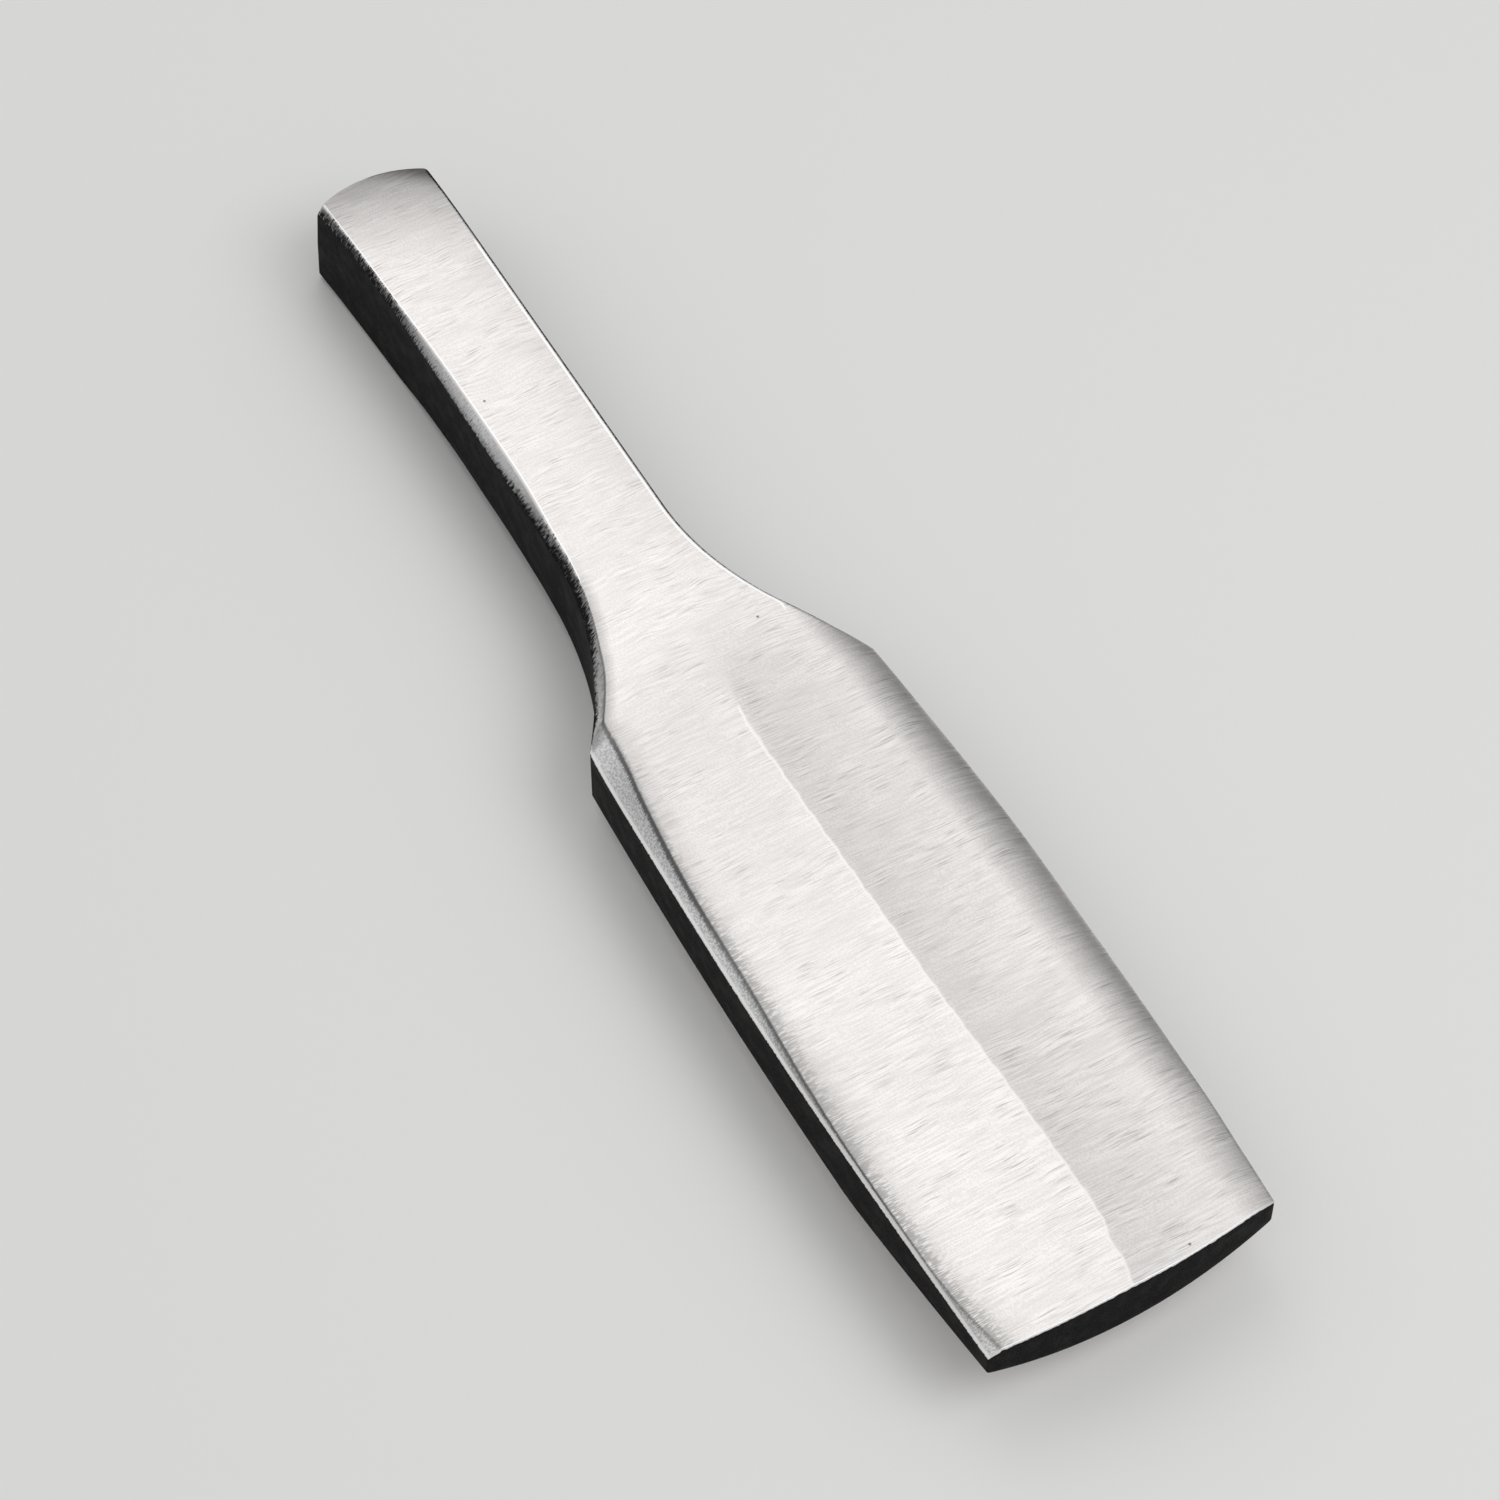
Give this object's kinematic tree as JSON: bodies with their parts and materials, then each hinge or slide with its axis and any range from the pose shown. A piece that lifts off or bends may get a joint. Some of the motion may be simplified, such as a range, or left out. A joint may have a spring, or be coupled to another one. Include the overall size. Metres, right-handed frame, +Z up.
{
  "type": "jewelry hammer",
  "caption": "One-piece forged steel hammer whose square bar handle flows into a broad flat head with a low ridge on top and a crowned underside, for flattening and shaping metal by hand.",
  "frame": {"origin": "middle of the tool's footprint, on the plane that its underside rests on", "axes": "+X from the butt of the handle to the front edge of the head, +Y to the right side, +Z up through the ground top face"},
  "size_m": [0.24, 0.0518, 0.0184],
  "materials": {
    "forged_steel": "belt-ground satin top and underside, dark forge skin on flanks and ends"
  },
  "bodies": {
    "root": {"hammer_body": "forged_steel"}
  },
  "joints": []
}
